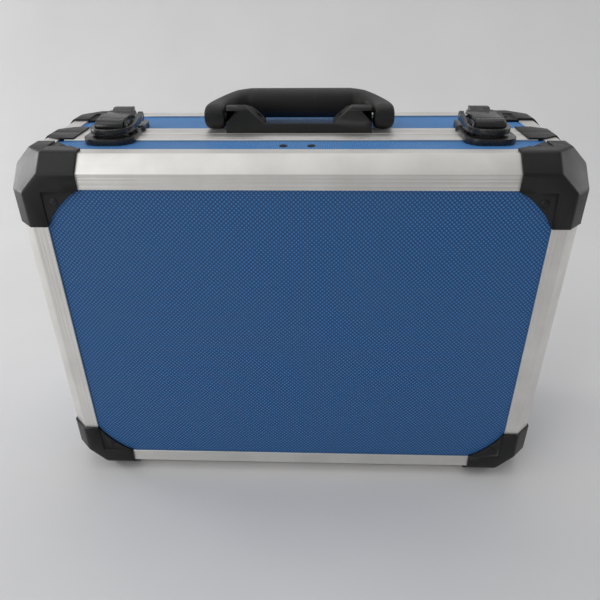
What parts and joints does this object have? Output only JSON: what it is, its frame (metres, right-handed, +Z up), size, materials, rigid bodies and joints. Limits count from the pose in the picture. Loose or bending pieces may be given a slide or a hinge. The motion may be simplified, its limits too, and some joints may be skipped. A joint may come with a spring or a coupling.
{
  "type": "hard tool case",
  "caption": "Hard tool case of framed boards with corner guards, a hinged lid, a folding top handle and ring latches, standing closed.",
  "frame": {"origin": "middle of the underside, at the floor the corner pieces stand on", "axes": "+X across the width to the right seen from the lid, -Y out of the lid, +Z up to the handle"},
  "size_m": [0.4036, 0.1536, 0.316],
  "materials": {
    "blue_board": "embossed laminate skin",
    "aluminium": "satin anodised, drawn lines along the length",
    "black_corner": "fine moulded grain",
    "black_handle": "satin moulded",
    "black_latch": "satin to glossy moulded",
    "steel": "zinc plated",
    "foam": "foam sheet with a soft face"
  },
  "bodies": {
    "base": {"base_panel": "blue_board", "base_wall_top": "blue_board", "base_wall_bottom": "blue_board", "base_wall_left": "blue_board", "base_wall_right": "blue_board", "base_edge_top": "aluminium", "base_edge_bottom": "aluminium", "base_edge_left": "aluminium", "base_edge_right": "aluminium", "base_depth_edges": "aluminium", "base_rim_top": "aluminium", "base_rim_bottom": "aluminium", "base_rim_left": "aluminium", "base_rim_right": "aluminium", "base_rim_caps": "black_corner", "base_corner_top_left": "black_corner", "base_corner_top_right": "black_corner", "base_corner_bottom_left": "black_corner", "base_corner_bottom_right": "black_corner", "base_rivets": "steel", "base_lining": "foam", "hinge_leaves_base": "steel", "hinge_pins": "steel", "handle_bracket": "black_handle", "handle_pins": "steel", "latch_left_base": "black_latch", "latch_right_base": "black_latch", "latch_lever_pins": "steel"},
    "lid": {"lid_panel": "blue_board", "lid_wall_top": "blue_board", "lid_wall_bottom": "blue_board", "lid_wall_left": "blue_board", "lid_wall_right": "blue_board", "lid_edge_top": "aluminium", "lid_edge_bottom": "aluminium", "lid_edge_left": "aluminium", "lid_edge_right": "aluminium", "lid_depth_edges": "aluminium", "lid_rim_top": "aluminium", "lid_rim_bottom": "aluminium", "lid_rim_left": "aluminium", "lid_rim_right": "aluminium", "lid_rim_caps": "black_corner", "lid_corner_top_left": "black_corner", "lid_corner_top_right": "black_corner", "lid_corner_bottom_left": "black_corner", "lid_corner_bottom_right": "black_corner", "lid_rivets": "steel", "lid_lining": "foam", "hinge_leaves_lid": "steel", "latch_left_catch": "black_latch", "latch_right_catch": "black_latch"},
    "handle": {"handle_grip": "black_handle"},
    "left_lever": {"latch_left_lever": "black_latch"},
    "left_ring": {"latch_left_ring": "black_latch", "latch_left_ring_pin": "steel"},
    "right_lever": {"latch_right_lever": "black_latch"},
    "right_ring": {"latch_right_ring": "black_latch", "latch_right_ring_pin": "steel"}
  },
  "joints": [
    {"name": "lid_hinge", "type": "hinge", "parent": "base", "child": "lid", "pos_m": [0, -0.01, 0.0029], "axis": [1, 0, 0], "range_deg": [0, 95]},
    {"name": "handle_swing", "type": "hinge", "parent": "base", "child": "handle", "pos_m": [0, 0.005, 0.3016], "axis": [1, 0, 0], "range_deg": [0, 95]},
    {"name": "left_lever_turn", "type": "hinge", "parent": "base", "child": "left_lever", "pos_m": [-0.1385, -0.022, 0.3004], "axis": [1, 0, 0], "range_deg": [0, 85]},
    {"name": "left_ring_swing", "type": "hinge", "parent": "left_lever", "child": "left_ring", "pos_m": [-0.1385, 0.007, 0.3012], "axis": [1, 0, 0], "range_deg": [-85, 0]},
    {"name": "right_lever_turn", "type": "hinge", "parent": "base", "child": "right_lever", "pos_m": [0.1385, -0.022, 0.3004], "axis": [1, 0, 0], "range_deg": [0, 85]},
    {"name": "right_ring_swing", "type": "hinge", "parent": "right_lever", "child": "right_ring", "pos_m": [0.1385, 0.007, 0.3012], "axis": [1, 0, 0], "range_deg": [-85, 0]}
  ],
  "couplings": [
    {"joint": "left_ring_swing", "follows": "left_lever_turn", "ratio": -1},
    {"joint": "right_ring_swing", "follows": "right_lever_turn", "ratio": -1}
  ]
}
